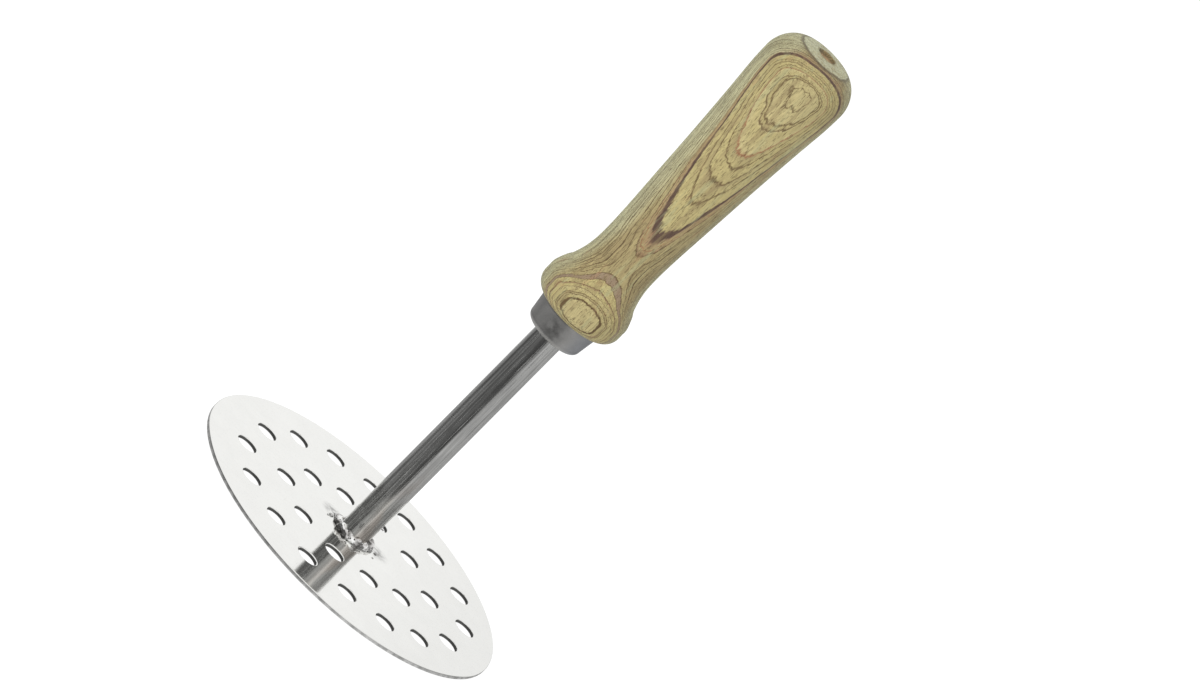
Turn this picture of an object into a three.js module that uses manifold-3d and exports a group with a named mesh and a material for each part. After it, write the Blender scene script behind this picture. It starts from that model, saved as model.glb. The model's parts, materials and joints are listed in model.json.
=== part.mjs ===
// A potato masher: a punched steel disc welded to a tube, with a ferrule and a turned wooden handle.
// Lengths are in millimetres and +Z is up. The origin is the centre of the disc's underside, the face
// that presses on the food, and +Z runs up the tube to the butt of the handle.
import * as THREE from 'three';
import { mergeVertices } from 'three/addons/utils/BufferGeometryUtils.js';
import Module from 'manifold-3d';

// Driving dimensions
const DISC_RADIUS = 56.5;
const DISC_THICKNESS = 1.2;
const HOLE_RADIUS = 3.5;
const TUBE_RADIUS = 5;
const TUBE_WALL = 1;
const TUBE_TOP = 138;
const BEAD_RADIUS = 7;
const BEAD_HEIGHT = 2.6;
const FERRULE_BASE = 90.2;
const FERRULE_RIM = 99.2;
const FERRULE_BASE_RADIUS = 9.6;
const FERRULE_RIM_RADIUS = 10.6;
const FERRULE_CORNER = 1.8;
const FERRULE_WALL = 0.8;
const BULB_RADIUS = 14.95;
const BULB_FRONT_ROUNDING = 4.2;
const BULB_TOP = 105.4;
const GRIP_TOP = 199.5;
const GRIP_RADIUS = 15.1;
const BUTT_ROUNDING_HEIGHT = 9.9;
const BUTT_ROUNDING_CENTRE = 6.4;
const BUTT_CREASE_RADIUS = 8.6;
const BUTT_HEIGHT = 209.7;
const DIMPLE_RADIUS = 3;
const DIMPLE_FLOOR_RADIUS = 2.4;
const DIMPLE_DEPTH = 1.2;
const PIN_RADIUS = 1.25;
const PIN_LENGTH = 17;
const PIN_HEIGHT = 94.8;

// The holes were punched by eye, so each has its own place: [distance from the centre, bearing in degrees].
const OUTER_HOLES = [
  [42, -169], [41.5, 164], [41.5, 140], [42.5, 118], [42.5, 98], [42.5, 78], [44, 59], [45.5, 38],
  [45, 14], [43.5, -10], [42, -32], [41.5, -53], [39.5, -74], [40, -97], [39.5, -120], [41.5, -143],
];
const INNER_HOLES = [
  [26.5, -170], [23.5, 151], [22, 116], [23, 82], [26.5, 49],
  [31, 14], [25, -20], [21, -53], [21.5, -90], [22.5, -130],
];

// The grip's side between the bulb and the butt, as [radius, height]: a quick fall to the neck, then a
// long swell that fills the palm.
const GRIP_SIDE = [
  [14.85, 107.2], [13.7, 110.4], [12.4, 112.9], [11.1, 117.8], [10.6, 123.5],
  [10.8, 133], [11.75, 149.1], [12.75, 165.7], [13.95, 182.2], [14.85, 193],
];

// Clearances between pieces
const TURNED_GAP = 0.08;
const BORE_GAP = 0.3;

// Facets
const TURNED_SIDES = 40;
const CURVE_STEPS = 2;
const DISC_SIDES = 96;
const HOLE_SIDES = 20;
const PIN_SIDES = 16;

const radians = THREE.MathUtils.degToRad;
const wasm = await Module();
wasm.setup();

function metal(color, roughness) {
  return new THREE.MeshStandardMaterial({ color, roughness, metalness: 1 });
}

function wood(color, roughness) {
  return new THREE.MeshStandardMaterial({ color, roughness, metalness: 0 });
}

// Revolves an outline of (radius, height) about +Z.
function turned(outline) {
  const geometry = new THREE.LatheGeometry(outline.getPoints(CURVE_STEPS), TURNED_SIDES);
  return geometry.rotateX(Math.PI / 2);
}

function toManifold(geometry) {
  const bare = geometry.clone();
  bare.deleteAttribute('normal');
  bare.deleteAttribute('uv');
  const merged = mergeVertices(bare);
  const corners = merged.index.array;
  const triVerts = [];
  for (let i = 0; i < corners.length; i += 3) {
    const [a, b, c] = corners.slice(i, i + 3);
    if (a !== b && b !== c && c !== a) {
      triVerts.push(a, b, c);
    }
  }
  return new wasm.Manifold(new wasm.Mesh({
    numProp: 3,
    vertProperties: Float32Array.from(merged.attributes.position.array),
    triVerts: Uint32Array.from(triVerts),
  }));
}

function cut(geometry, tool) {
  const { vertProperties, triVerts } = toManifold(geometry).subtract(toManifold(tool)).getMesh();
  const result = new THREE.BufferGeometry();
  result.setAttribute('position', new THREE.BufferAttribute(vertProperties, 3));
  result.setIndex(new THREE.BufferAttribute(triVerts, 1));
  return result;
}

// A round outline whose corners lie on the circle, with the first one at bearing 0.
function polygon(ShapeClass, radius, sides, x = 0, y = 0) {
  const corners = [];
  for (let i = 0; i < sides; i += 1) {
    const angle = (i / sides) * 2 * Math.PI;
    corners.push(new THREE.Vector2(x + radius * Math.cos(angle), y + radius * Math.sin(angle)));
  }
  return new ShapeClass(corners);
}

function discGeometry() {
  const outline = polygon(THREE.Shape, DISC_RADIUS, DISC_SIDES);
  for (const [distance, bearing] of [...OUTER_HOLES, ...INNER_HOLES]) {
    const x = distance * Math.cos(radians(bearing));
    const y = distance * Math.sin(radians(bearing));
    outline.holes.push(polygon(THREE.Path, HOLE_RADIUS, HOLE_SIDES, x, y));
  }
  return new THREE.ExtrudeGeometry(outline, { depth: DISC_THICKNESS, bevelEnabled: false });
}

function tubeGeometry() {
  const inner = TUBE_RADIUS - TUBE_WALL;
  const outline = new THREE.Path();
  outline.moveTo(inner, DISC_THICKNESS);
  outline.lineTo(TUBE_RADIUS, DISC_THICKNESS);
  outline.lineTo(TUBE_RADIUS, TUBE_TOP);
  outline.lineTo(inner, TUBE_TOP);
  outline.lineTo(inner, DISC_THICKNESS);
  return cut(turned(outline), pinHole());
}

// How far the hand-laid bead spreads at a bearing: a lap at each end of the run, and ripples.
function beadSpread(angle) {
  const startLap = 0.75 * Math.max(0, Math.cos(angle - Math.PI)) ** 10;
  const endLap = 0.5 * Math.max(0, Math.cos(angle - radians(10))) ** 12;
  const ripples = 0.12 * Math.cos(11 * angle);
  return 0.85 + startLap + endLap + ripples;
}

function beadGeometry() {
  const inner = TUBE_RADIUS + TURNED_GAP;
  const outline = new THREE.Path();
  outline.moveTo(inner, 0);
  outline.lineTo(BEAD_RADIUS, 0);
  outline.absellipse(inner, 0, BEAD_RADIUS - inner, BEAD_HEIGHT, 0, Math.PI / 2, false, 0);
  outline.lineTo(inner, 0);
  const geometry = turned(outline);
  const position = geometry.attributes.position;
  for (let i = 0; i < position.count; i += 1) {
    const x = position.getX(i);
    const y = position.getY(i);
    const radius = Math.hypot(x, y);
    const spread = inner + (radius - inner) * beadSpread(Math.atan2(y, x));
    position.setXY(i, (x / radius) * spread, (y / radius) * spread);
  }
  return geometry.translate(0, 0, DISC_THICKNESS);
}

// A drawn cup: the tube passes through its floor and its wall closes round the handle's nose.
function ferruleGeometry() {
  const hole = TUBE_RADIUS + TURNED_GAP;
  const floor = FERRULE_BASE + FERRULE_WALL;
  const insideCorner = FERRULE_CORNER - FERRULE_WALL;
  const cornerHeight = FERRULE_BASE + FERRULE_CORNER;
  const cornerCentre = FERRULE_BASE_RADIUS - FERRULE_CORNER;
  const outline = new THREE.Path();
  outline.moveTo(hole, FERRULE_BASE);
  outline.lineTo(cornerCentre, FERRULE_BASE);
  outline.absarc(cornerCentre, cornerHeight, FERRULE_CORNER, -Math.PI / 2, 0);
  outline.lineTo(FERRULE_RIM_RADIUS, FERRULE_RIM);
  outline.lineTo(FERRULE_RIM_RADIUS - FERRULE_WALL, FERRULE_RIM);
  outline.absarc(cornerCentre, cornerHeight, insideCorner, 0, -Math.PI / 2, true);
  outline.lineTo(hole, floor);
  outline.lineTo(hole, FERRULE_BASE);
  return turned(outline);
}

function handleGeometry() {
  const bore = TUBE_RADIUS + BORE_GAP;
  const boreEnd = TUBE_TOP + BORE_GAP;
  const noseEnd = FERRULE_BASE + FERRULE_WALL + TURNED_GAP;
  const noseEndRadius = FERRULE_BASE_RADIUS - FERRULE_WALL - TURNED_GAP;
  const noseCorner = FERRULE_CORNER - FERRULE_WALL - TURNED_GAP;
  const noseRootRadius = FERRULE_RIM_RADIUS - FERRULE_WALL - TURNED_GAP;
  const shoulder = FERRULE_RIM + TURNED_GAP;
  const outline = new THREE.Path();
  outline.moveTo(0, boreEnd);
  outline.lineTo(bore, boreEnd);
  outline.lineTo(bore, noseEnd);
  outline.absarc(noseEndRadius - noseCorner, noseEnd + noseCorner, noseCorner, -Math.PI / 2, 0);
  outline.lineTo(noseRootRadius, shoulder);
  outline.absarc(BULB_RADIUS - BULB_FRONT_ROUNDING, shoulder + BULB_FRONT_ROUNDING, BULB_FRONT_ROUNDING,
    -Math.PI / 2, 0);
  outline.lineTo(BULB_RADIUS, BULB_TOP);
  outline.splineThru([
    ...GRIP_SIDE.map(([radius, height]) => new THREE.Vector2(radius, height)),
    new THREE.Vector2(GRIP_RADIUS, GRIP_TOP),
  ]);
  // The side rolls over to a crease, and the butt inside it is a low cone with the lathe centre's dimple.
  const buttRounding = GRIP_RADIUS - BUTT_ROUNDING_CENTRE;
  const crease = Math.acos((BUTT_CREASE_RADIUS - BUTT_ROUNDING_CENTRE) / buttRounding);
  outline.absellipse(BUTT_ROUNDING_CENTRE, GRIP_TOP, buttRounding, BUTT_ROUNDING_HEIGHT,
    0, crease, false, 0);
  outline.lineTo(DIMPLE_RADIUS, BUTT_HEIGHT);
  outline.lineTo(DIMPLE_FLOOR_RADIUS, BUTT_HEIGHT - DIMPLE_DEPTH);
  outline.lineTo(0, BUTT_HEIGHT - DIMPLE_DEPTH);
  return cut(turned(outline), pinHole());
}

function pinHole() {
  const hole = new THREE.CylinderGeometry(PIN_RADIUS + BORE_GAP, PIN_RADIUS + BORE_GAP,
    4 * TUBE_RADIUS, PIN_SIDES);
  return hole.translate(0, 0, PIN_HEIGHT);
}

// Crosses the handle's nose and the tube under the ferrule, which keeps it in.
function pinGeometry() {
  const pin = new THREE.CylinderGeometry(PIN_RADIUS, PIN_RADIUS, PIN_LENGTH, PIN_SIDES);
  return pin.translate(0, 0, PIN_HEIGHT);
}

const masher = new THREE.Group();

function add(name, geometry, material) {
  const mesh = new THREE.Mesh(geometry, material);
  mesh.name = name;
  masher.add(mesh);
}

add('mashing_disc', discGeometry(), metal(0xeeeeec, 0.12));
add('weld_bead', beadGeometry(), metal(0xa8a6a2, 0.3));
add('shaft_tube', tubeGeometry(), metal(0x8f908e, 0.25));
add('ferrule', ferruleGeometry(), metal(0x6d6e70, 0.45));
add('retaining_pin', pinGeometry(), metal(0x9a9b9c, 0.4));
add('handle', handleGeometry(), wood(0xa99c70, 0.6));

export default masher;
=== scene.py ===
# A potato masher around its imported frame: the visible pieces, their materials, the light and the camera.
# Lengths in the tables are in millimetres, in the frame's axes: the disc lies on the floor, +Z runs up the
# tube and -Y faces the viewer. Objects are made in metres.
import json
import math

import bmesh
import bpy
from mathutils import Matrix, Vector, noise
from mathutils.geometry import delaunay_2d_cdt


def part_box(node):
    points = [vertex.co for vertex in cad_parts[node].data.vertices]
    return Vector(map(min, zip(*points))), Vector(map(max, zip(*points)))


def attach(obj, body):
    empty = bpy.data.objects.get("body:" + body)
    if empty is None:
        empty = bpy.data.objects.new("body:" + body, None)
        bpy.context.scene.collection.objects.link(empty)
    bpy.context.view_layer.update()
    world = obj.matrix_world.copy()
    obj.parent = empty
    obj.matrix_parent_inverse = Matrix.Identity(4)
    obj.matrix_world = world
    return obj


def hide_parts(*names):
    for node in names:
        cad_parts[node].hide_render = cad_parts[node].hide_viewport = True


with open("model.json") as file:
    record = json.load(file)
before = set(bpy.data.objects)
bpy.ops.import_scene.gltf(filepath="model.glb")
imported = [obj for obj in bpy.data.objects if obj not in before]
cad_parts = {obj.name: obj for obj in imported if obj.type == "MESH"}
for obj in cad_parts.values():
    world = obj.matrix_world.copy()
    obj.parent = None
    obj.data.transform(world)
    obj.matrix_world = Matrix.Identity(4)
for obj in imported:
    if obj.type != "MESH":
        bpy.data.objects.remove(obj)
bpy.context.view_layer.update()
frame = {"nodes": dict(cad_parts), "record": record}

MM = 0.001
# How far the disc's rim stays inside the CAD box, and the weld stays off the tube and the disc.
SKIN = 0.01
# An edge that turns by more degrees than this is sharp, and a face whose normal is this upright is level.
SHARP_ANGLE = 32.0
FLAT_NORMAL = 0.99999

# Disc. Punching and turning have rolled its upper edges over, and its lower ones less.
DISC_SIDES = 288
HOLE_SIDES = 60
HOLE_RADIUS = 3.5
LIP_ROLL = 0.36
LIP_STEPS = 6
LIP_ROLL_BELOW = 0.1
LIP_STEPS_BELOW = 2

# Weld
WELD_SIDES = 240
WELD_STEPS = 18
WELD_REACH = 1.92
WELD_RIPPLES = 11
# The bead spreads into a lap where its run starts and ends, at these bearings in degrees from +X.
WELD_LAP_BEARING = 174
WELD_END_BEARING = 16
# Drops of spatter on the disc, five beside the weld and one well behind it, as (x, y, radius, height).
SPATTER = [
    (-8.6, -1.2, 0.75, 0.55), (-9.4, -2.6, 0.4, 0.3), (-7.9, 1.9, 0.5, 0.4),
    (8.9, 1.6, 0.55, 0.35), (9.2, -2.3, 0.35, 0.25), (5.3, 21.0, 0.55, 0.3),
]

# Tube
TUBE_SIDES = 192
TUBE_RINGS = 40
TUBE_WALL = 1.0
TUBE_CHAMFER = 0.25

# Ferrule
FERRULE_SIDES = 192
FERRULE_BASE_RADIUS = 9.6
FERRULE_CORNER = 1.8
FERRULE_WALL = 0.8
FERRULE_LIP = 0.25
FERRULE_HOLE_CHAMFER = 0.15
FERRULE_SIDE_RINGS = 12

# Handle
HANDLE_SIDES = 224
BORE_GAP = 0.3
TURNED_GAP = 0.08
BULB_RADIUS = 14.95
BULB_FRONT_ROUNDING = 4.2
# The grip's side as (radius, height), from the bulb over the neck to the top of the swell.
GRIP_SIDE = [
    (BULB_RADIUS, 105.4), (14.85, 107.2), (13.7, 110.4), (12.4, 112.9), (11.1, 117.8), (10.6, 123.5),
    (10.8, 133.0), (11.75, 149.1), (12.75, 165.7), (13.95, 182.2), (14.85, 193.0), (15.1, 199.5),
]
BUTT_ROUNDING_HEIGHT = 9.9
BUTT_ROUNDING_CENTRE = 6.4
BUTT_CREASE_RADIUS = 8.6
DIMPLE_RADIUS = 3.0
DIMPLE_FLOOR_RADIUS = 2.4
DIMPLE_DEPTH = 1.2
DIMPLE_ROUNDING = 0.35
BUTT_CONE_RINGS = 5

# The retaining pin's hole through the handle and the tube
PIN_HOLE_RADIUS = 1.55
PIN_HOLE_LENGTH = 20.0
PIN_HOLE_SIDES = 32
PIN_HEIGHT = 94.8

# Camera, light and floor, in metres and degrees, with the lens and sensor in millimetres
CAMERA_AT = (0.0, -2.24288, 0.82853)
CAMERA_TARGET = (0.01343, 0.0, 0.0971)
CAMERA_ROLL = 44.905
CAMERA_LENS = 240.0
SENSOR_WIDTH = 36.0
KEY_AT = (-0.9, -1.6, 1.3)
KEY_SIZE = 1.6
KEY_POWER = 30.0
FLOOR_SIZE = 20.0
FLOOR_DROP = 0.0002


# ---------------------------------------------------------------- meshes

def record_holes():
    """The centres of the disc's holes, in millimetres, from the openings that the record states."""
    centres = []
    for opening in frame["record"]["physics"]["openings"]:
        low, high = opening["box_m"]
        centres.append(((low[0] + high[0]) / 2 / MM, (low[1] + high[1]) / 2 / MM))
    return centres


def make_object(name, vertices, faces):
    """A mesh object in metres from vertices in millimetres, with its normals outward and its edges sharp."""
    mesh = bpy.data.meshes.new(name)
    mesh.from_pydata([Vector(v) * MM for v in vertices], [], faces)
    work = bmesh.new()
    work.from_mesh(mesh)
    finish_edges(work)
    work.to_mesh(mesh)
    work.free()
    piece = bpy.data.objects.new(name, mesh)
    bpy.context.scene.collection.objects.link(piece)
    return piece


def finish_edges(work):
    """Turns the faces outward and shades them smooth, apart from level faces and edges over SHARP_ANGLE."""
    bmesh.ops.recalc_face_normals(work, faces=work.faces)
    work.normal_update()
    for face in work.faces:
        face.smooth = abs(face.normal.z) < FLAT_NORMAL
    for edge in work.edges:
        edge.smooth = edge.calc_face_angle(0.0) < math.radians(SHARP_ANGLE)


def revolve(profile, sides, closed):
    """Vertices and faces of a profile of (radius, height) turned about Z. A radius of 0 makes a pole."""
    vertices, rings = [], []
    for radius, height in profile:
        count = 1 if radius < 1e-6 else sides
        rings.append([len(vertices) + i for i in range(count)])
        for i in range(count):
            angle = 2 * math.pi * i / sides
            vertices.append((radius * math.cos(angle), radius * math.sin(angle), height))
    pairs = list(zip(rings, rings[1:]))
    if closed:
        pairs.append((rings[-1], rings[0]))
    faces = []
    for low, high in pairs:
        faces += bridge(low, high, sides)
    return vertices, faces


def bridge(low, high, sides):
    """The faces between two rings of the same number of vertices, or between a ring and a pole."""
    faces = []
    for i in range(sides):
        j = (i + 1) % sides
        if len(low) == 1:
            faces.append((low[0], high[j], high[i]))
        elif len(high) == 1:
            faces.append((low[i], low[j], high[0]))
        else:
            faces.append((low[i], low[j], high[j], high[i]))
    return faces


def arc(centre_radius, centre_height, width, height, start, end, steps):
    """Points of (radius, height) along an ellipse's arc, with its angles in degrees from +radius."""
    points = []
    for i in range(steps + 1):
        angle = math.radians(start + (end - start) * i / steps)
        points.append((centre_radius + width * math.cos(angle), centre_height + height * math.sin(angle)))
    return points


def spline(points, steps):
    """A Catmull-Rom curve through the points, without its first point."""
    curve = []
    for i in range(len(points) - 1):
        before = points[max(i - 1, 0)]
        start, end = points[i], points[i + 1]
        after = points[min(i + 2, len(points) - 1)]
        for step in range(1, steps + 1):
            t = step / steps
            curve.append(tuple(catmull(before[k], start[k], end[k], after[k], t) for k in (0, 1)))
    return curve


def catmull(a, b, c, d, t):
    """The value between b and c at a share t, on a smooth curve through all four."""
    slope_in, slope_out = (c - a) / 2, (d - b) / 2
    return ((2 * b - 2 * c + slope_in + slope_out) * t ** 3
            + (-3 * b + 3 * c - 2 * slope_in - slope_out) * t ** 2 + slope_in * t + b)


def drill_for_pin(piece):
    """Cuts the retaining pin's hole through a piece, along Y."""
    profile = [(0, -PIN_HOLE_LENGTH / 2), (PIN_HOLE_RADIUS, -PIN_HOLE_LENGTH / 2),
               (PIN_HOLE_RADIUS, PIN_HOLE_LENGTH / 2), (0, PIN_HOLE_LENGTH / 2)]
    drill = make_object("pin_drill", *revolve(profile, PIN_HOLE_SIDES, closed=False))
    turn = Matrix.Translation((0, 0, PIN_HEIGHT * MM)) @ Matrix.Rotation(math.pi / 2, 4, "X")
    drill.data.transform(turn)
    cut = piece.modifiers.new("pin_hole", "BOOLEAN")
    cut.operation = "DIFFERENCE"
    cut.solver = "EXACT"
    cut.object = drill
    graph = bpy.context.evaluated_depsgraph_get()
    piece.data = bpy.data.meshes.new_from_object(piece.evaluated_get(graph))
    piece.data.name = piece.name
    piece.modifiers.clear()
    bpy.data.objects.remove(drill)


# ---------------------------------------------------------------- the disc

def circle(centre, radius, sides):
    return [(centre[0] + radius * math.cos(2 * math.pi * i / sides),
             centre[1] + radius * math.sin(2 * math.pi * i / sides)) for i in range(sides)]


def flat_with_holes(rim, holes):
    """Triangles between a rim and its holes, as indexes into the rim's points and then each hole's."""
    loops = [rim] + holes
    points, edges, owner = [], [], []
    for number, loop in enumerate(loops):
        first = len(points)
        points += [Vector(p) for p in loop]
        owner += [number] * len(loop)
        edges += [(first + i, first + (i + 1) % len(loop)) for i in range(len(loop))]
    result = delaunay_2d_cdt(points, edges, [], 0, 1e-7)
    origin = [sources[0] for sources in result[3]]
    triangles = []
    for face in result[2]:
        corners = [origin[v] for v in face]
        owners = {owner[c] for c in corners}
        if len(owners) > 1 or owners == {0}:
            triangles.append(tuple(corners))
    return triangles


def quarter_roll(radius, steps, inward):
    """How far a rolled edge has moved out of the flat and down, as (offset, drop), from its start."""
    sign = -1 if inward else 1
    return [(sign * radius * math.sin(math.pi / 2 * i / steps),
             radius * (1 - math.cos(math.pi / 2 * i / steps))) for i in range(steps + 1)]


def build_disc():
    low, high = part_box("mashing_disc")
    radius, top, bottom = high.x / MM - SKIN, high.z / MM, low.z / MM
    loops = [((0.0, 0.0), radius, DISC_SIDES, False)]
    loops += [(centre, HOLE_RADIUS, HOLE_SIDES, True) for centre in record_holes()]
    vertices, faces, top_loops, bottom_loops = [], [], [], []
    for centre, size, sides, is_hole in loops:
        rings = edge_rings(centre, size, sides, is_hole, top, bottom)
        indexes = []
        for ring in rings:
            indexes.append(list(range(len(vertices), len(vertices) + sides)))
            vertices += ring
        for upper, lower in zip(indexes, indexes[1:]):
            faces += bridge(upper, lower, sides)
        top_loops.append(indexes[0])
        bottom_loops.append(indexes[-1])
    for flat in (top_loops, bottom_loops):
        order = [v for loop in flat for v in loop]
        outlines = [[vertices[v][:2] for v in loop] for loop in flat]
        for triangle in flat_with_holes(outlines[0], outlines[1:]):
            faces.append(tuple(order[c] for c in triangle))
    return make_object("mashing_disc_polished", vertices, faces)


def edge_rings(centre, size, sides, is_hole, top, bottom):
    """Rings of vertices from the top's flat over the rolled edge, down the wall and under to the bottom's."""
    away = 1 if is_hole else -1
    rings = []
    for offset, drop in quarter_roll(LIP_ROLL, LIP_STEPS, is_hole):
        rings.append((size + away * LIP_ROLL + offset, top - drop))
    for offset, rise in reversed(quarter_roll(LIP_ROLL_BELOW, LIP_STEPS_BELOW, is_hole)):
        rings.append((size + away * LIP_ROLL_BELOW + offset, bottom + rise))
    return [[(x, y, height) for x, y in circle(centre, radius, sides)] for radius, height in rings]


# ---------------------------------------------------------------- weld, tube, ferrule and handle

def lap(angle, bearing, power):
    """1 at a bearing, falling to 0 away from it. A higher power makes it narrower."""
    return max(0.0, math.cos(angle - math.radians(bearing))) ** power


def weld_shape(angle):
    """How far the bead spreads and how high it stands at a bearing, as shares of its plain section."""
    start, end = lap(angle, WELD_LAP_BEARING, 14), lap(angle, WELD_END_BEARING, 16)
    ripple = math.cos(WELD_RIPPLES * angle + 0.8 * math.sin(2 * angle))
    uneven = noise.noise(Vector((2.3 * math.cos(angle), 2.3 * math.sin(angle), 0.7)))
    spread = 1.0 + 0.5 * start + 0.45 * end + 0.11 * ripple + 0.16 * uneven
    height = 0.82 - 0.42 * start - 0.08 * end + 0.1 * ripple + 0.2 * uneven
    return spread, min(1.0, height)


def build_weld():
    low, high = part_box("weld_bead")
    tube_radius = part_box("shaft_tube")[1].x / MM
    inner, foot = tube_radius + SKIN, low.z / MM + SKIN
    rise = high.z / MM - foot
    vertices, sections = [], []
    for i in range(WELD_SIDES):
        angle = 2 * math.pi * i / WELD_SIDES
        spread, height = weld_shape(angle)
        sections.append(range(len(vertices), len(vertices) + WELD_STEPS + 2))
        vertices.append((inner * math.cos(angle), inner * math.sin(angle), foot))
        for step in range(WELD_STEPS + 1):
            turn = math.pi / 2 * step / WELD_STEPS
            lump = 1 + 0.07 * noise.noise(Vector((9 * math.cos(angle), 9 * math.sin(angle), 3 * turn)))
            radius = inner + WELD_REACH * spread * math.cos(turn) ** 0.85 * lump
            z = foot + rise * height * math.sin(turn) ** 0.9 * min(lump, 1.0)
            vertices.append((radius * math.cos(angle), radius * math.sin(angle), z))
    faces = []
    for section, following in zip(sections, sections[1:] + sections[:1]):
        faces += bridge(section, following, len(section))
    return make_object("weld_bead_rippled", vertices, faces)


def build_spatter():
    """Low drops of weld metal, each a closed dome, in one mesh."""
    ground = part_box("mashing_disc")[1].z / MM
    vertices, faces = [], []
    for x, y, radius, height in SPATTER:
        profile = [(0, 0)] + arc(0, 0, radius, height, 0, 90, 6)[:-1] + [(0, height)]
        drop, drop_faces = revolve(profile, 20, closed=False)
        first = len(vertices)
        for vx, vy, vz in drop:
            swell = 1 + 0.25 * noise.noise(Vector((vx + x, vy + y, 0.4)))
            vertices.append((x + vx * swell, y + vy * swell, ground + vz))
        faces += [tuple(first + v for v in face) for face in drop_faces]
    return make_object("weld_spatter", vertices, faces)


def build_tube():
    low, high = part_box("shaft_tube")
    radius, foot, top = high.x / MM, low.z / MM, high.z / MM
    bore = radius - TUBE_WALL
    heights = [foot + (top - TUBE_CHAMFER - foot) * i / TUBE_RINGS for i in range(TUBE_RINGS + 1)]
    profile = [(radius, z) for z in heights] + [(radius - TUBE_CHAMFER, top)]
    profile += [(bore, top)] + [(bore, z) for z in reversed(heights)]
    return make_object("shaft_tube_drawn", *revolve(profile, TUBE_SIDES, closed=True))


def build_ferrule():
    low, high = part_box("ferrule")
    base, rim, rim_radius = low.z / MM, high.z / MM, high.x / MM
    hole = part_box("shaft_tube")[1].x / MM + TURNED_GAP
    corner_radius = FERRULE_BASE_RADIUS - FERRULE_CORNER
    corner_height = base + FERRULE_CORNER
    inside = FERRULE_CORNER - FERRULE_WALL
    profile = [(hole, base + FERRULE_HOLE_CHAMFER), (hole + FERRULE_HOLE_CHAMFER, base)]
    profile += arc(corner_radius, corner_height, FERRULE_CORNER, FERRULE_CORNER, -90, 0, 14)
    for i in range(1, FERRULE_SIDE_RINGS + 1):
        share = i / FERRULE_SIDE_RINGS
        profile.append((FERRULE_BASE_RADIUS + (rim_radius - FERRULE_BASE_RADIUS) * share,
                        corner_height + (rim - FERRULE_LIP - corner_height) * share))
    profile += arc(rim_radius - FERRULE_LIP, rim - FERRULE_LIP, FERRULE_LIP, FERRULE_LIP, 0, 90, 4)[1:]
    profile += [(rim_radius - FERRULE_WALL, rim)]
    profile += arc(corner_radius, corner_height, inside, inside, 0, -90, 6)
    profile += [(hole, base + FERRULE_WALL)]
    return make_object("ferrule_cup", *revolve(profile, FERRULE_SIDES, closed=True))


def handle_profile():
    tube_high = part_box("shaft_tube")[1]
    ferrule_low, ferrule_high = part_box("ferrule")
    bore, bore_end = tube_high.x / MM + BORE_GAP, tube_high.z / MM + BORE_GAP
    nose_end = ferrule_low.z / MM + FERRULE_WALL + TURNED_GAP
    nose_radius = FERRULE_BASE_RADIUS - FERRULE_WALL - TURNED_GAP
    nose_corner = FERRULE_CORNER - FERRULE_WALL - TURNED_GAP
    root = ferrule_high.x / MM - FERRULE_WALL - TURNED_GAP
    shoulder = ferrule_high.z / MM + TURNED_GAP
    rounding = BULB_FRONT_ROUNDING
    profile = [(0, bore_end), (bore, bore_end), (bore, nose_end)]
    profile += arc(nose_radius - nose_corner, nose_end + nose_corner, nose_corner, nose_corner, -90, 0, 5)
    profile += [(root, shoulder)]
    profile += arc(BULB_RADIUS - rounding, shoulder + rounding, rounding, rounding, -90, 0, 16)
    profile += [(BULB_RADIUS, (shoulder + rounding + GRIP_SIDE[0][1]) / 2), GRIP_SIDE[0]]
    profile += spline(GRIP_SIDE, 10)
    return profile + butt_profile()


def butt_profile():
    """The side rolls over to a crease, and a low cone inside it holds the lathe centre's dimple."""
    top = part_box("handle")[1].z / MM
    grip_radius, grip_top = GRIP_SIDE[-1]
    width = grip_radius - BUTT_ROUNDING_CENTRE
    crease = math.degrees(math.acos((BUTT_CREASE_RADIUS - BUTT_ROUNDING_CENTRE) / width))
    points = arc(BUTT_ROUNDING_CENTRE, grip_top, width, BUTT_ROUNDING_HEIGHT, 0, crease, 26)[1:]
    crease_height = points[-1][1]
    edge = DIMPLE_RADIUS + DIMPLE_ROUNDING
    for i in range(1, BUTT_CONE_RINGS + 1):
        share = i / BUTT_CONE_RINGS
        points.append((BUTT_CREASE_RADIUS + (edge - BUTT_CREASE_RADIUS) * share,
                       crease_height + (top - crease_height) * share))
    points += arc(edge, top - DIMPLE_ROUNDING, DIMPLE_ROUNDING, DIMPLE_ROUNDING, 90, 180, 5)[1:]
    # The dimple's wall runs into its floor over a small fillet.
    floor = top - DIMPLE_DEPTH
    points += [(DIMPLE_FLOOR_RADIUS + 0.15, floor + 0.2), (DIMPLE_FLOOR_RADIUS - 0.15, floor + 0.02)]
    return points + [(DIMPLE_FLOOR_RADIUS / 2, floor), (0, floor)]


def build_handle():
    return make_object("handle_turned", *revolve(handle_profile(), HANDLE_SIDES, closed=False))


# ---------------------------------------------------------------- nodes and materials

def srgb(red, green, blue):
    """A colour given as 0 to 255 on a screen, as the linear colour that a shader takes."""
    linear = []
    for value in (red, green, blue):
        share = value / 255
        linear.append(share / 12.92 if share <= 0.04045 else ((share + 0.055) / 1.055) ** 2.4)
    return (*linear, 1.0)


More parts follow.
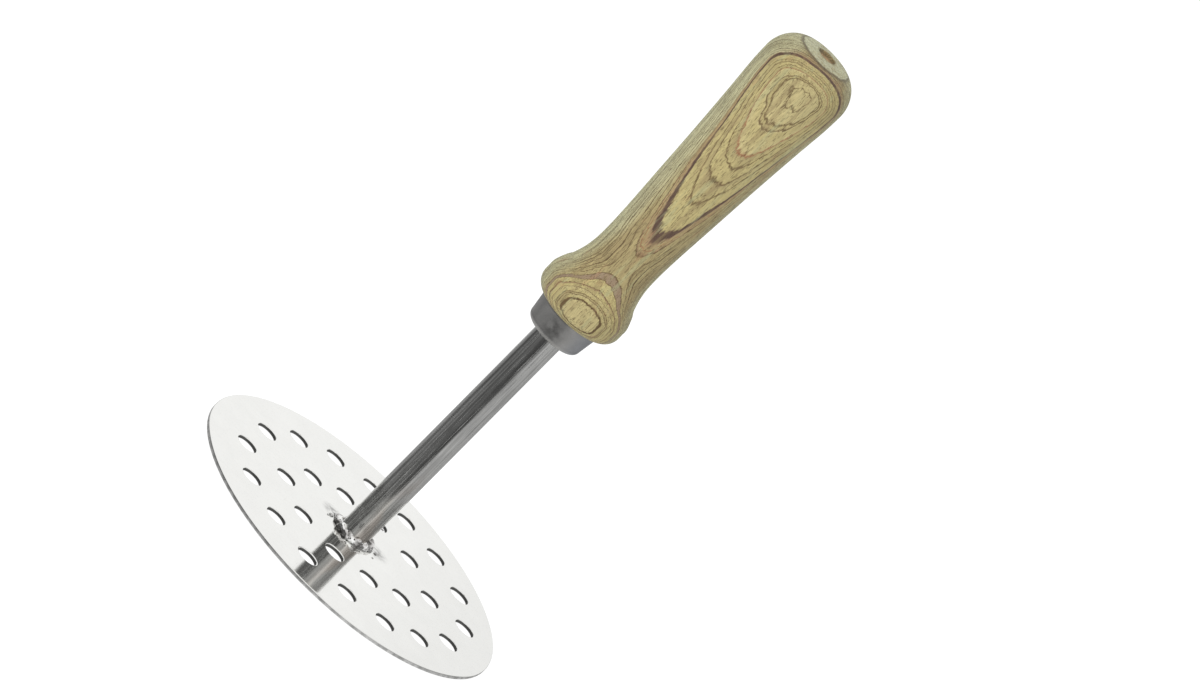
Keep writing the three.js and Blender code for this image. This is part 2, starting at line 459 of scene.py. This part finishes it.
class Nodes:
    """A tree of nodes, with the building blocks that the materials and the world share."""

    def __init__(self, tree):
        self.tree = tree

    def put(self, value, socket):
        """Links a node's output to a socket, or sets the socket to a constant."""
        if isinstance(value, bpy.types.NodeSocket):
            self.tree.links.new(value, socket)
        else:
            socket.default_value = value

    def split(self, vector):
        node = self.tree.nodes.new("ShaderNodeSeparateXYZ")
        self.put(vector, node.inputs[0])
        return node.outputs

    def math(self, operation, a, b=0.0, c=0.0):
        node = self.tree.nodes.new("ShaderNodeMath")
        node.operation = operation
        for value, socket in zip((a, b, c), node.inputs):
            self.put(value, socket)
        return node.outputs[0]

    def gradient(self, share, stops):
        """Colours along a share from 0 to 1. Stops are (share, colour), in order."""
        node = self.tree.nodes.new("ShaderNodeValToRGB")
        elements = node.color_ramp.elements
        while len(elements) < len(stops):
            elements.new(1.0)
        for element, (at, colour) in zip(elements, stops):
            element.position = at
            element.color = colour
        self.put(share, node.inputs[0])
        return node.outputs[0]


class Surface(Nodes):
    """A material of nodes around one Principled shader. Places on it are in millimetres."""

    def __init__(self, name):
        self.material = bpy.data.materials.new(name)
        self.material.use_nodes = True
        super().__init__(self.material.node_tree)
        self.shader = self.tree.nodes["Principled BSDF"]
        coordinates = self.tree.nodes.new("ShaderNodeTexCoord")
        self.place = self.vector("SCALE", coordinates.outputs["Object"], scale=1 / MM)
        self.x, self.y, self.z = self.split(self.place)

    def set(self, **inputs):
        """Sets inputs of the shader by name, with _ for a space."""
        for name, value in inputs.items():
            self.put(value, self.shader.inputs[name.replace("_", " ")])

    def vector(self, operation, a, b=(0.0, 0.0, 0.0), scale=1.0):
        node = self.tree.nodes.new("ShaderNodeVectorMath")
        node.operation = operation
        self.put(a, node.inputs[0])
        if operation == "SCALE":
            self.put(scale, node.inputs["Scale"])
        else:
            self.put(b, node.inputs[1])
        return node.outputs["Value" if operation == "DISTANCE" else "Vector"]

    def total(self, *terms):
        result = terms[0]
        for term in terms[1:]:
            result = self.math("ADD", result, term)
        return result

    def product(self, *terms):
        result = terms[0]
        for term in terms[1:]:
            result = self.math("MULTIPLY", result, term)
        return result

    def noise(self, size, detail, shift=(0.0, 0.0, 0.0)):
        """Noise from 0 to 1 whose features are about size = (x, y, z) millimetres."""
        moved = self.vector("ADD", self.place, shift)
        node = self.tree.nodes.new("ShaderNodeTexNoise")
        self.put(self.vector("DIVIDE", moved, size), node.inputs["Vector"])
        node.inputs["Scale"].default_value = 1.0
        node.inputs["Detail"].default_value = detail
        return node.outputs["Fac"]

    def waver(self, size, amount, detail, shift=(0.0, 0.0, 0.0)):
        """Noise about 0, from -amount to amount or so."""
        return self.math("MULTIPLY_ADD", self.noise(size, detail, shift), 4 * amount, -2 * amount)

    def noise_along(self, value, size, detail):
        """Noise from 0 to 1 that depends on one value only."""
        node = self.tree.nodes.new("ShaderNodeTexNoise")
        node.noise_dimensions = "1D"
        self.put(self.math("DIVIDE", value, size), node.inputs["W"])
        node.inputs["Scale"].default_value = 1.0
        node.inputs["Detail"].default_value = detail
        return node.outputs["Fac"]

    def step(self, value, low, high, smooth=True):
        """0 at low, 1 at high. Low may be above high."""
        node = self.tree.nodes.new("ShaderNodeMapRange")
        node.interpolation_type = "SMOOTHSTEP" if smooth else "LINEAR"
        reverse = low > high
        self.put(value, node.inputs["Value"])
        node.inputs["From Min"].default_value = min(low, high)
        node.inputs["From Max"].default_value = max(low, high)
        node.inputs["To Min"].default_value = 1.0 if reverse else 0.0
        node.inputs["To Max"].default_value = 0.0 if reverse else 1.0
        return node.outputs[0]

    def ramp(self, value, stops):
        """Colours along a value. Stops are (value, colour), in order."""
        first, last = stops[0][0], stops[-1][0]
        share = self.step(value, first, last, smooth=False)
        return self.gradient(share, [((at - first) / (last - first), colour) for at, colour in stops])

    def mix(self, factor, a, b):
        """Colour a where the factor is 0, and colour b where it is 1."""
        node = self.tree.nodes.new("ShaderNodeMix")
        node.data_type = "RGBA"
        self.put(factor, node.inputs["Factor"])
        colours = [socket for socket in node.inputs if socket.type == "RGBA"]
        self.put(a, colours[0])
        self.put(b, colours[1])
        return [socket for socket in node.outputs if socket.type == "RGBA"][0]

    def shade(self, colour, factor):
        """A colour multiplied by a number."""
        if not isinstance(colour, bpy.types.NodeSocket):
            colour = colour[:3]
        return self.vector("SCALE", colour, scale=factor)

    def spot(self, centre, radius):
        """1 at a point, falling to 0 at a distance from it."""
        distance = self.vector("DISTANCE", self.place, centre)
        return self.step(distance, radius, 0.0)

    def axis_distance(self):
        """The distance from the Z axis."""
        level = self.vector("MULTIPLY", self.place, (1.0, 1.0, 0.0))
        return self.vector("DISTANCE", level, (0.0, 0.0, 0.0))

    def bump(self, height, depth):
        """Relief from a height of 0 to 1 that stands for depth millimetres."""
        node = self.tree.nodes.new("ShaderNodeBump")
        node.inputs["Distance"].default_value = depth * MM
        self.put(height, node.inputs["Height"])
        self.put(node.outputs[0], self.shader.inputs["Normal"])


# The metals' colours
MIRROR_STEEL = srgb(238, 238, 235)
HEAT_GREY = srgb(112, 111, 109)
# Duller sheared steel, darkened with painted shade, for the holes' walls.
SHADED_PUNCHED_STEEL = srgb(112, 112, 110)
RIM_STEEL = srgb(196, 196, 194)
BRIGHT_STEEL = srgb(250, 250, 248)
WELD_DARK = srgb(96, 94, 92)
WELD_GREY = srgb(206, 204, 202)
WELD_PIT = srgb(64, 61, 58)
# Painted shade where the weld bead meets the disc and the tube.
WELD_CREASE_SHADE = srgb(84, 82, 80)
TUBE_STEEL = srgb(206, 206, 204)
TUBE_TINT = srgb(170, 154, 142)
SATIN_STEEL = srgb(180, 179, 177)
# A painted blue reflection for the ferrule's +X side.
REFLECTED_BLUE_PAINT = srgb(160, 166, 176)
WIRE_STEEL = srgb(190, 190, 190)

# Grey heat smudges on the disc, left and right of the weld, as (centre, radius).
SMUDGES = [((-9.3, 2.2, 1.2), 4.8), ((8.5, 3.4, 1.2), 5.6)]
# A painted dark reflection on the front of the ferrule, as (centre, radius).
FERRULE_DARK_REFLECTION = ((-0.6, -10.2, 94.7), 6.6)


def disc_material():
    """Polished sheet: faint scratches and blotches, and grey heat smudges beside the weld."""
    surface = Surface("polished_disc")
    blotches = surface.waver((9, 9, 9), 0.02, 3)
    fine = surface.waver((1.5, 1.5, 1.5), 0.012, 4)
    scratches_along_y = surface.step(surface.noise((0.18, 14, 4), 2), 0.66, 0.74)
    scratches_along_x = surface.step(surface.noise((11, 0.16, 4), 2, (5, 9, 0)), 0.67, 0.75)
    scratches = surface.math("MAXIMUM", scratches_along_y, scratches_along_x)
    left, right = [surface.spot(centre, radius) for centre, radius in SMUDGES]
    smoke = surface.noise((1.5, 1.5, 1.5), 4)
    smudge = surface.product(surface.math("MAXIMUM", left, right), surface.step(smoke, 0.26, 0.66))
    # The disc is a little darker towards +X.
    darker_towards_x = surface.product(surface.step(surface.x, 0, 55), -0.07)
    level = surface.total(1.0, blotches, fine, darker_towards_x, surface.product(scratches, -0.035))
    steel = surface.shade(MIRROR_STEEL, level)
    colour = surface.mix(surface.product(smudge, 0.85), steel, HEAT_GREY)
    # The punched walls are duller than the two faces, and their colour is darkened with painted shade inside
    # the holes; the disc's rim is brighter than the walls.
    wall = surface.product(surface.step(surface.z, 0.96, 0.86), surface.step(surface.z, 0.0, 0.1))
    rim = surface.step(surface.axis_distance(), 55.6, 56.0)
    sheared = surface.step(surface.noise((2.5, 2.5, 3), 3), 0.3, 0.7)
    side = surface.mix(rim, SHADED_PUNCHED_STEEL, surface.mix(sheared, RIM_STEEL, BRIGHT_STEEL))
    colour = surface.mix(wall, colour, side)
    roughness = surface.total(0.08, surface.product(scratches, 0.05), surface.product(smudge, 0.22),
                              surface.product(wall, 0.4))
    surface.set(Base_Color=colour, Roughness=roughness, Metallic=1.0)
    wave = surface.total(surface.noise((16, 16, 16), 1), surface.product(scratches, -0.05))
    surface.bump(wave, 0.01)
    return surface.material


def weld_material():
    """Melted steel: bright lumps with grey between them, dark pits, and painted shade along both edges, where
    the bead meets the disc and the tube.
    """
    surface = Surface("weld_metal")
    lumps = surface.noise((2.2, 2.2, 2.2), 2)
    steel = surface.ramp(lumps, [(0.34, WELD_DARK), (0.5, WELD_GREY), (0.6, BRIGHT_STEEL)])
    # 0 in a pit and 1 on the metal round it.
    sound = surface.step(surface.noise((0.8, 0.8, 0.8), 1), 0.3, 0.4)
    colour = surface.mix(sound, WELD_PIT, steel)
    # Painted shade: the bead is darkened along its foot on the disc and its root against the tube.
    foot = surface.step(surface.z, 1.7, 1.4)
    root = surface.step(surface.axis_distance(), 5.5, 5.2)
    colour = surface.mix(surface.product(surface.math("MAXIMUM", foot, root), 0.5), colour, WELD_CREASE_SHADE)
    roughness = surface.math("MULTIPLY_ADD", sound, -0.08, 0.2)
    surface.set(Base_Color=colour, Roughness=roughness, Metallic=1.0)
    surface.bump(surface.total(surface.product(sound, 0.08), surface.noise((2.3, 2.3, 2.3), 0)), 0.6)
    return surface.material


def tube_material():
    """Drawn tube: draw lines, bands, scratches and stains along its length, and a warm tint low down."""
    surface = Surface("tube_steel")
    draw_lines = surface.noise((0.3, 0.3, 120), 3)
    scratches = surface.step(surface.noise((0.22, 0.22, 34), 2, (3, 1, 0)), 0.58, 0.68)
    streaks = surface.noise((0.45, 0.45, 9), 3, (6, 2, 0))
    mottle = surface.noise((1.3, 1.3, 4.5), 4)
    stains = surface.noise((3.5, 3.5, 16), 3, (0, 0, 7))
    bands = surface.step(surface.noise((0.8, 0.8, 50), 2, (1, 4, 0)), 0.42, 0.58)
    level = surface.total(0.04, surface.product(draw_lines, 0.7), surface.product(mottle, 0.34),
                          surface.product(bands, 0.3), surface.product(stains, 0.2),
                          surface.product(streaks, 0.52))
    steel = surface.shade(TUBE_STEEL, level)
    warm = surface.product(surface.step(surface.z, 40, 12), surface.step(stains, 0.4, 0.6),
                           surface.step(surface.x, -1.0, 2.5))
    colour = surface.mix(surface.product(warm, 0.5), steel, TUBE_TINT)
    roughness = surface.total(0.12, surface.product(scratches, 0.16), surface.product(mottle, 0.1))
    surface.set(Base_Color=colour, Roughness=roughness, Metallic=1.0)
    surface.bump(surface.total(draw_lines, surface.product(scratches, 0.9)), 0.03)
    return surface.material


def ferrule_material():
    """Satin drawn steel: fine grain, a painted dark reflection in front and a painted blue reflection at its
    +X side.
    """
    surface = Surface("ferrule_steel")
    grain = surface.noise((0.35, 0.35, 0.35), 4)
    cloud = surface.noise((4, 4, 4), 3)
    # Painted reflection: the front of the ferrule is darkened as if it mirrored something dark.
    dark_reflection = surface.product(surface.spot(*FERRULE_DARK_REFLECTION), surface.step(cloud, 0.25, 0.55))
    level = surface.total(0.58, surface.product(grain, 0.34), surface.product(cloud, 0.38),
                          surface.product(dark_reflection, -0.6))
    # Painted reflection: the +X side of the ferrule is tinted blue.
    blue = surface.product(surface.step(surface.x, 4, 9.5), 0.5)
    tone = surface.mix(blue, SATIN_STEEL, REFLECTED_BLUE_PAINT)
    roughness = surface.math("MULTIPLY_ADD", grain, 0.15, 0.36)
    surface.set(Base_Color=surface.shade(tone, level), Roughness=roughness, Metallic=1.0)
    surface.bump(grain, 0.02)
    return surface.material


def pin_material():
    """Drawn wire with lines along Y."""
    surface = Surface("pin_steel")
    lines = surface.noise((0.2, 12, 0.2), 3)
    steel = surface.shade(WIRE_STEEL, surface.math("MULTIPLY_ADD", lines, 0.4, 0.7))
    surface.set(Base_Color=steel, Roughness=surface.math("MULTIPLY_ADD", lines, 0.2, 0.25), Metallic=1.0)
    surface.bump(lines, 0.02)
    return surface.material


# The wood's colours: plain wood, the lines and bands of its growth layers, its casts and marks, painted sheen
# for its sides, and painted light and shade for the butt's end.
WOOD_DULL = srgb(156, 142, 101)
WOOD_WARM = srgb(170, 157, 109)
WOOD_PALE = srgb(177, 164, 118)
LINE_BROWN = srgb(92, 73, 47)
LINE_RED = srgb(140, 98, 70)
BAND_RED = srgb(146, 122, 92)
BAND_DARK = srgb(86, 67, 57)
BAND_PURPLE = srgb(138, 119, 97)
STREAK_BROWN = srgb(92, 75, 50)
CAST_BROWN = srgb(134, 117, 84)
CAST_GREEN = srgb(160, 160, 122)
# Painted sheen for the handle's sides.
SIDE_SHEEN_PAINT = srgb(186, 186, 150)
PATCH_RED = srgb(154, 116, 84)
PORE_BROWN = srgb(98, 80, 54)
# The butt's end: painted light as a pale ring, and painted shade as a dark crease line and a dark edge round
# the reddish dimple.
END_PAINTED_LIGHT = srgb(184, 184, 154)
CREASE_SHADE = srgb(84, 70, 50)
DIMPLE_RED = srgb(178, 140, 108)
DIMPLE_EDGE_SHADE = srgb(92, 74, 52)
SHEEN_GREEN = srgb(180, 200, 180)

# The growth layers, as (distance of the layer, colour). The distance is measured from the handle's axis
# towards the front. Outside BAND_EDGE lie the rings of the grip and of the bulb, and inside it lies the dark
# band that runs over both, which is broad and pale on the bulb.
BAND_EDGE = 11.3
GRIP_LAYERS = [
    (BAND_EDGE, WOOD_WARM), (11.96, WOOD_WARM), (12.06, LINE_BROWN), (12.15, WOOD_WARM), (12.49, WOOD_DULL),
    (12.57, LINE_BROWN), (12.64, WOOD_WARM), (13.0, WOOD_WARM), (13.06, LINE_BROWN), (13.12, WOOD_WARM),
    (13.4, WOOD_DULL), (13.48, LINE_RED), (13.56, WOOD_PALE), (14.1, WOOD_WARM), (14.16, WOOD_PALE),
    (14.22, LINE_BROWN), (14.29, WOOD_DULL), (14.38, WOOD_WARM), (14.46, LINE_BROWN), (14.56, WOOD_PALE),
    (15.06, WOOD_PALE), (15.1, LINE_BROWN), (15.14, WOOD_PALE), (15.4, WOOD_PALE),
]
BULB_LAYERS = [
    (BAND_EDGE, WOOD_WARM), (11.98, WOOD_WARM), (12.06, LINE_BROWN), (12.16, BAND_RED), (12.28, WOOD_WARM),
    (12.7, WOOD_WARM), (12.77, LINE_BROWN), (12.84, WOOD_PALE), (13.4, WOOD_WARM), (13.48, LINE_BROWN),
    (13.56, WOOD_DULL), (13.68, WOOD_DULL), (13.74, LINE_BROWN), (13.82, WOOD_PALE), (14.1, WOOD_WARM),
    (14.18, LINE_BROWN), (14.3, LINE_BROWN), (14.38, WOOD_PALE), (15.4, WOOD_PALE),
]
GRIP_BAND = [
    (10.3, WOOD_DULL), (10.4, WOOD_DULL), (10.46, LINE_BROWN), (10.53, BAND_RED), (10.64, WOOD_DULL),
    (10.69, LINE_RED), (10.74, WOOD_DULL), (10.9, BAND_RED), (10.98, BAND_DARK), (11.18, BAND_DARK),
    (11.25, WOOD_WARM), (BAND_EDGE, WOOD_WARM),
]
BULB_BAND = [
    (10.3, WOOD_DULL), (10.5, WOOD_DULL), (10.56, LINE_BROWN), (10.64, BAND_PURPLE), (11.14, BAND_PURPLE),
    (11.2, LINE_BROWN), (11.26, WOOD_WARM), (BAND_EDGE, WOOD_WARM),
]
# The layers face the front, turned a little towards +X, and this curve in millimetres bows them.
LAYER_TURN = math.radians(9)
LAYER_CURVE = 64.0

# Heights over which the wood changes, as (none of the change, all of it).
GRIP_LIGHTENS = (107, 116)
GRIP_DARKENS = (190, 202)
NECK_BEGINS = (116.5, 121.5)
NECK_ENDS = (134.5, 127.5)
RINGS_CHANGE = (118, 124)
BAND_CHANGES = (120, 128.5)
SHEEN_SIDE_BROADENS = (118, 135)
LAYERS_RISE = (123, 181)
BAND_BROADENS = (190, 206)
BUTT_END = (207.4, 208.3)


def wood_layers(surface):
    """The distance of the growth layer at a place: nearly flat layers that face the front, with a waver."""
    side, front = math.sin(LAYER_TURN), -math.cos(LAYER_TURN)
    out = surface.total(surface.product(surface.x, side), surface.product(surface.y, front))
    across = surface.total(surface.product(surface.x, -front), surface.product(surface.y, side))
    bow = surface.product(across, across, 1 / LAYER_CURVE)
    slow = surface.waver((9, 9, 30), 0.16, 1)
    middle = surface.waver((2.4, 2.4, 11), 0.12, 2, (4, 0, 0))
    ragged = surface.waver((0.5, 0.5, 2.2), 0.06, 2, (0, 8, 0))
    # The layers lie a little nearer the axis at the neck and a little further from it at the butt.
    neck = surface.product(surface.step(surface.z, *NECK_BEGINS), surface.step(surface.z, *NECK_ENDS))
    rise = surface.step(surface.z, *LAYERS_RISE)
    lie = surface.total(surface.product(neck, -0.3), surface.product(rise, 0.12))
    return surface.total(out, bow, slow, middle, ragged, lie)


def wood_figure(surface, layer):
    """The colours of the layers that the front of the handle cuts."""
    # The dark band broadens where the butt's rounding cuts it.
    broad = surface.math("MULTIPLY_ADD", surface.step(surface.z, *BAND_BROADENS), -0.62, 1.0)
    depth = surface.math("SUBTRACT", BAND_EDGE, layer)
    grip_layer = surface.math("SUBTRACT", BAND_EDGE, surface.product(depth, broad))
    band = surface.mix(surface.step(surface.z, *BAND_CHANGES), surface.ramp(layer, BULB_BAND),
                       surface.ramp(grip_layer, GRIP_BAND))
    rings = surface.mix(surface.step(surface.z, *RINGS_CHANGE), surface.ramp(layer, BULB_LAYERS),
                        surface.ramp(layer, GRIP_LAYERS))
    return surface.mix(surface.step(layer, BAND_EDGE - 0.01, BAND_EDGE + 0.01), band, rings)


def layer_lines(surface, layer, spacing, width):
    """Lines that follow the layers, where noise that depends on the layer alone passes its middle."""
    level = surface.noise_along(layer, spacing, 2)
    from_middle = surface.math("ABSOLUTE", surface.math("SUBTRACT", level, 0.5))
    return surface.step(from_middle, width, 0.0)


def wood_streaks(surface, layer):
    """Where layers stand on edge, round the sides and back, they show as streaks along the grip."""
    broken = surface.step(surface.noise((2.5, 2.5, 22), 2, (7, 7, 0)), 0.3, 0.5)
    bold = surface.product(layer_lines(surface, layer, 0.62, 0.05), broken)
    patchy = surface.step(surface.noise((1.4, 1.4, 9), 2), 0.42, 0.6)
    thin = surface.product(layer_lines(surface, layer, 0.3, 0.04), patchy)
    return surface.product(surface.math("MAXIMUM", bold, surface.product(thin, 0.8)),
                           surface.step(layer, 10.6, 10.2))


def painted_sheen_sides(surface, layer):
    """Painted sheen: 1 where the layers inside the band reach the handle's left side, and less on its right.
    """
    sideways = surface.math("DIVIDE", surface.x, surface.axis_distance())
    broader = surface.product(surface.step(surface.z, *SHEEN_SIDE_BROADENS), 0.2)
    left = surface.step(surface.math("SUBTRACT", sideways, broader), -0.62, -0.98)
    right = surface.product(surface.step(sideways, 0.86, 0.99), 0.7)
    return surface.product(surface.math("MAXIMUM", left, right), surface.step(layer, 10.55, 10.15))


def butt_end(surface, colour):
    """The butt's end: painted shade as a dark line in the crease, painted light as a pale ring inside it, and
    a reddish dimple with painted shade round its edge.
    """
    end = surface.step(surface.z, *BUTT_END)
    wobble = surface.waver((2.5, 2.5, 2.5), 0.3, 2, (1, 6, 3))
    radius = surface.math("ADD", surface.axis_distance(), wobble)
    # Painted light: a pale ring on the cone inside the crease.
    ring = surface.product(surface.step(radius, 3.4, 4.0), surface.step(radius, 9.4, 8.4), end)
    patchy = surface.step(surface.noise((1.1, 1.1, 1.1), 3), 0.36, 0.62)
    mottle = surface.math("MULTIPLY_ADD", patchy, 0.5, 0.3)
    colour = surface.mix(surface.product(ring, mottle), colour, END_PAINTED_LIGHT)
    # Painted shade: a dark line in the crease.
    crease = surface.product(surface.step(radius, 8.2, 8.8), surface.step(radius, 10.0, 9.0), end)
    colour = surface.mix(surface.product(crease, 0.75), colour, CREASE_SHADE)
    inside = surface.product(surface.step(radius, 2.9, 2.3), end)
    colour = surface.mix(surface.product(inside, 0.6), colour, DIMPLE_RED)
    # Painted shade: a dark ring round the dimple's edge.
    edge = surface.product(surface.step(radius, 2.0, 2.7), surface.step(radius, 3.6, 2.9), end)
    return surface.mix(surface.product(edge, 0.6), colour, DIMPLE_EDGE_SHADE)


def wood_material():
    """Turned hardwood: figure from its growth layers, casts and streaks, painted sheen on its sides, the
    butt's end with painted light and shade, fibres and pores.
    """
    surface = Surface("handle_wood")
    layer = wood_layers(surface)
    colour = wood_figure(surface, layer)
    cast = surface.noise((2.0, 2.0, 34), 3, (2, 5, 1))
    colour = surface.mix(surface.product(surface.step(cast, 0.5, 0.66), 0.5), colour, CAST_BROWN)
    colour = surface.mix(surface.product(surface.step(cast, 0.46, 0.3), 0.45), colour, CAST_GREEN)
    # Painted sheen: the handle's left and right sides are made pale grey-green.
    colour = surface.mix(surface.product(painted_sheen_sides(surface, layer), 0.6), colour, SIDE_SHEEN_PAINT)
    streaks = wood_streaks(surface, layer)
    colour = surface.mix(surface.product(streaks, 0.9), colour, STREAK_BROWN)
    red_patch = surface.step(surface.noise((3.2, 3.2, 9), 2, (12, 3, 31)), 0.62, 0.72)
    colour = surface.mix(surface.product(red_patch, 0.25), colour, PATCH_RED)
    colour = butt_end(surface, colour)
    pores = surface.step(surface.noise((0.24, 0.24, 2.6), 1, (1, 2, 3)), 0.6, 0.68)
    colour = surface.mix(surface.product(pores, 0.6), colour, PORE_BROWN)
    fibres = surface.noise((0.34, 0.34, 7), 4)
    grain = surface.noise((0.28, 0.28, 0.9), 2, (5, 5, 5))
    # The grip is a little lighter than the bulb and the butt.
    lighter = surface.math("SUBTRACT", surface.step(surface.z, *GRIP_LIGHTENS),
                           surface.step(surface.z, *GRIP_DARKENS))
    level = surface.total(0.455, surface.product(fibres, 0.72), surface.product(grain, 0.26),
                          surface.product(lighter, 0.085))
    surface.set(Base_Color=surface.shade(colour, level),
                Roughness=surface.math("MULTIPLY_ADD", fibres, 0.2, 0.5), Sheen_Weight=0.2,
                Sheen_Roughness=0.4, Sheen_Tint=SHEEN_GREEN, Specular_IOR_Level=0.3)
    relief = surface.total(surface.product(fibres, 0.5), surface.product(pores, -0.6),
                           surface.product(streaks, -0.3))
    surface.bump(relief, 0.1)
    return surface.material


def floor_material():
    """A plain pale floor, lit evenly."""
    surface = Surface("floor_pale")
    surface.set(Base_Color=(0.2, 0.2, 0.2, 1.0), Roughness=0.9, Emission_Color=(1.0, 1.0, 1.0, 1.0),
                Emission_Strength=0.9, Specular_IOR_Level=0.0)
    return surface.material


# ---------------------------------------------------------------- light, floor and camera

# What a mirror sees round the object, as (bearing from the front towards +X, brightness): just below the
# horizon, and just above it, where a bright backdrop stands behind the object.
LOW_RING = [
    (-180, 0.46), (-138, 0.42), (-122, 0.34), (-106, 0.12), (-96, 0.09), (-86, 0.22), (-78, 0.24),
    (-70, 0.11), (-63, 0.12), (-57, 0.22), (-50, 0.12), (-32, 0.13), (-10, 0.1), (5, 0.06), (20, 0.05),
    (28, 0.46), (45, 0.54), (110, 0.46), (150, 0.36), (180, 0.46),
]
HIGH_RING = [
    (-180, 1.0), (-145, 1.0), (-132, 0.3), (-118, 0.14), (-84, 0.1), (-52, 0.16), (-28, 0.1), (-18, 0.22),
    (-12, 0.36), (-4, 0.55), (2, 0.4), (10, 0.28), (20, 0.75), (32, 0.95), (46, 0.7), (70, 0.4), (110, 0.3),
    (132, 0.3), (145, 1.0), (180, 1.0),
]


class Sky(Nodes):
    """The world's nodes: brightness by the direction of view."""

    def __init__(self):
        world = bpy.data.worlds.new("studio")
        bpy.context.scene.world = world
        world.use_nodes = True
        super().__init__(world.node_tree)
        self.background = self.tree.nodes["Background"]
        coordinates = self.tree.nodes.new("ShaderNodeTexCoord")
        self.x, self.y, self.z = self.split(coordinates.outputs["Generated"])

    def ramp(self, share, stops):
        """Brightness along a share from 0 to 1. Stops are (share, brightness), in order."""
        return self.gradient(share, [(at, (level, level, level, 1.0)) for at, level in stops])

    def ring(self, stops):
        """Brightness by bearing, from stops in degrees."""
        bearing = self.math("ARCTAN2", self.x, self.math("MULTIPLY", self.y, -1.0))
        turn = self.math("MULTIPLY_ADD", bearing, 0.5 / math.pi, 0.5)
        return self.ramp(turn, [((at + 180) / 360, level) for at, level in stops])

    def blend(self, factor, a, b):
        """Value a where the factor is 0, and value b where it is 1."""
        return self.math("ADD", self.math("MULTIPLY", b, factor),
                         self.math("MULTIPLY", a, self.math("SUBTRACT", 1.0, factor)))


def build_world():
    """Bright overhead and behind, darker surroundings near the horizon and a pale table further down."""
    sky = Sky()
    height = sky.math("MULTIPLY_ADD", sky.z, 0.5, 0.5)
    above = sky.ramp(height, [(0.48, 0.0), (0.52, 1.0)])
    round_about = sky.blend(above, sky.ring(LOW_RING), sky.ring(HIGH_RING))
    away = sky.ramp(height, [(0.17, 1.0), (0.3, 0.0), (0.7, 0.0), (0.8, 1.0)])
    pale = sky.ramp(height, [(0.4, 0.75), (0.6, 1.0)])
    sky.tree.links.new(sky.blend(away, round_about, pale), sky.background.inputs["Strength"])
    sky.background.inputs["Color"].default_value = (1.0, 1.0, 1.0, 1.0)


def build_key_light():
    """A broad soft light from the front and above. Polished metal mirrors the surroundings, not this."""
    light = bpy.data.objects.new("key", bpy.data.lights.new("key", "AREA"))
    light.data.shape = "DISK"
    light.data.size = KEY_SIZE
    light.data.energy = KEY_POWER
    light.visible_glossy = False
    light.location = KEY_AT
    light.rotation_euler = (-Vector(KEY_AT)).to_track_quat("-Z", "Y").to_euler()
    bpy.context.scene.collection.objects.link(light)


def build_floor():
    half = FLOOR_SIZE / 2
    corners = [(x / MM, y / MM, -FLOOR_DROP / MM) for x, y in
               ((-half, -half), (half, -half), (half, half), (-half, half))]
    floor = make_object("floor", corners, [(0, 1, 2, 3)])
    floor.data.materials.append(floor_material())
    floor.visible_glossy = False


def build_camera():
    camera = bpy.data.objects.new("camera", bpy.data.cameras.new("camera"))
    camera.data.lens = CAMERA_LENS
    camera.data.sensor_width = SENSOR_WIDTH
    camera.data.clip_end = 100.0
    forward = (Vector(CAMERA_TARGET) - Vector(CAMERA_AT)).normalized()
    level = forward.cross(Vector((0, 0, 1))).normalized()
    roll = math.radians(CAMERA_ROLL)
    right = level * math.cos(roll) + level.cross(forward) * math.sin(roll)
    up = right.cross(forward)
    turn = Matrix((right, up, -forward)).transposed().to_4x4()
    camera.matrix_world = Matrix.Translation(CAMERA_AT) @ turn
    bpy.context.scene.collection.objects.link(camera)
    bpy.context.scene.camera = camera


# ---------------------------------------------------------------- the whole

def place(piece, material, slot, *nodes):
    """Gives a piece its material and body, and hides the CAD nodes it stands for."""
    piece.data.materials.clear()
    piece.data.materials.append(material)
    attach(piece, "root")
    if nodes:
        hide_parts(*nodes)


bpy.context.scene.view_settings.view_transform = "Standard"
build_world()
build_key_light()
build_floor()
build_camera()

weld_steel = weld_material()
tube = build_tube()
drill_for_pin(tube)
handle = build_handle()
drill_for_pin(handle)
place(build_disc(), disc_material(), "polished_disc", "mashing_disc")
place(build_weld(), weld_steel, "weld_metal", "weld_bead")
place(build_spatter(), weld_steel, "weld_metal")
place(tube, tube_material(), "tube_steel", "shaft_tube")
place(build_ferrule(), ferrule_material(), "ferrule_steel", "ferrule")
place(handle, wood_material(), "handle_wood", "handle")

pin = frame["nodes"]["retaining_pin"]
pin.data.materials.clear()
pin.data.materials.append(pin_material())
